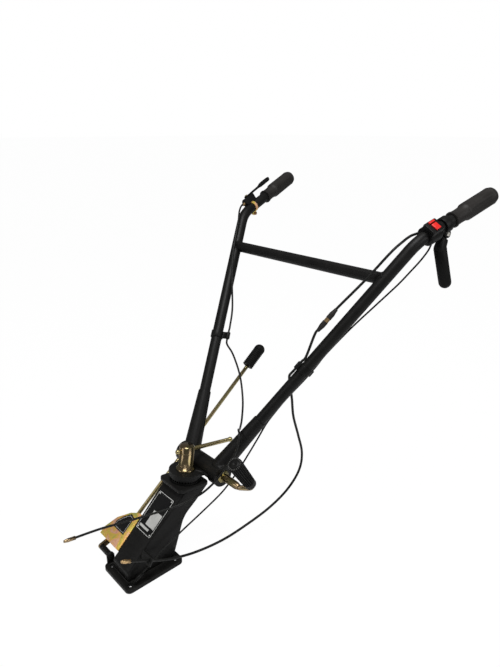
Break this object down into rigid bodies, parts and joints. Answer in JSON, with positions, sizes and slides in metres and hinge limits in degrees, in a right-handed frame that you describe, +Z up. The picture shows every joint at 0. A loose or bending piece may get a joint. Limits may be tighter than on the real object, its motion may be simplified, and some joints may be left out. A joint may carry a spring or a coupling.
{
  "type": "hand tractor handlebar assembly",
  "caption": "Splayed tube handlebar of a hand tractor on its swivelling steering column, with clamp levers, gear lever, grips, hand controls and cables.",
  "frame": {"origin": "middle of the base flange's underside, where the column bolts on", "axes": "+X forward, away from the grips; +Y to the machine's left; +Z up"},
  "size_m": [0.9902, 0.6924, 0.831],
  "materials": {
    "black_paint": "satin",
    "zinc_plate": "satin",
    "grip_rubber": "matte",
    "black_plastic": "matte",
    "red_plastic": "gloss",
    "plate_face": "satin",
    "brass": "satin"
  },
  "bodies": {
    "column": {"base_flange": "black_paint", "column": "black_paint", "name_plate": "plate_face", "swivel_seat": "black_paint", "seat_ring": "black_paint", "gate_plate": "zinc_plate", "gear_rod": "zinc_plate", "gear_arm": "zinc_plate", "gear_grip": "grip_rubber", "gear_bracket": "black_paint", "cable_stop": "black_paint", "clutch_cable_lower": "black_plastic", "clutch_clevis": "brass", "throttle_cable_lower": "black_plastic", "throttle_end": "zinc_plate", "stop_wire_lower": "black_plastic", "wire_connector": "black_plastic"},
    "head": {"swivel_head": "black_paint", "head_ring": "black_paint", "swivel_nut": "zinc_plate", "swivel_bar": "zinc_plate", "clamp_bolt": "zinc_plate", "clamp_hub": "zinc_plate", "clamp_rod": "zinc_plate", "clamp_grip": "black_plastic"},
    "handlebar": {"foot_left": "black_paint", "foot_right": "black_paint", "tube_left": "black_paint", "tube_right": "black_paint", "crossbar": "black_paint", "grip_left": "grip_rubber", "grip_right": "grip_rubber", "switch_box": "black_plastic", "switch_rockers": "red_plastic", "clutch_bracket": "black_plastic", "clutch_lever": "zinc_plate", "clutch_sleeve": "grip_rubber", "throttle_drum": "black_plastic", "throttle_lever": "black_plastic", "throttle_band": "zinc_plate", "clip_left": "black_plastic", "clip_right": "black_plastic", "cable_adjuster": "brass", "clutch_cable_upper": "black_plastic", "throttle_cable_upper": "black_plastic", "stop_wire_upper": "black_plastic"}
  },
  "joints": [
    {"name": "swing", "type": "hinge", "parent": "column", "child": "head", "pos_m": [-0.129, 0, 0.206], "axis": [-0.1288, 0, 0.9917], "range_deg": [-30, 30], "deforming": ["clutch_cable_lower", "throttle_cable_lower", "stop_wire_lower"]},
    {"name": "height", "type": "hinge", "parent": "head", "child": "handlebar", "pos_m": [-0.18, 0, 0.2], "axis": [0, 1, 0], "range_deg": [-12, 20], "deforming": ["clutch_cable_lower", "throttle_cable_lower", "stop_wire_lower"]}
  ]
}
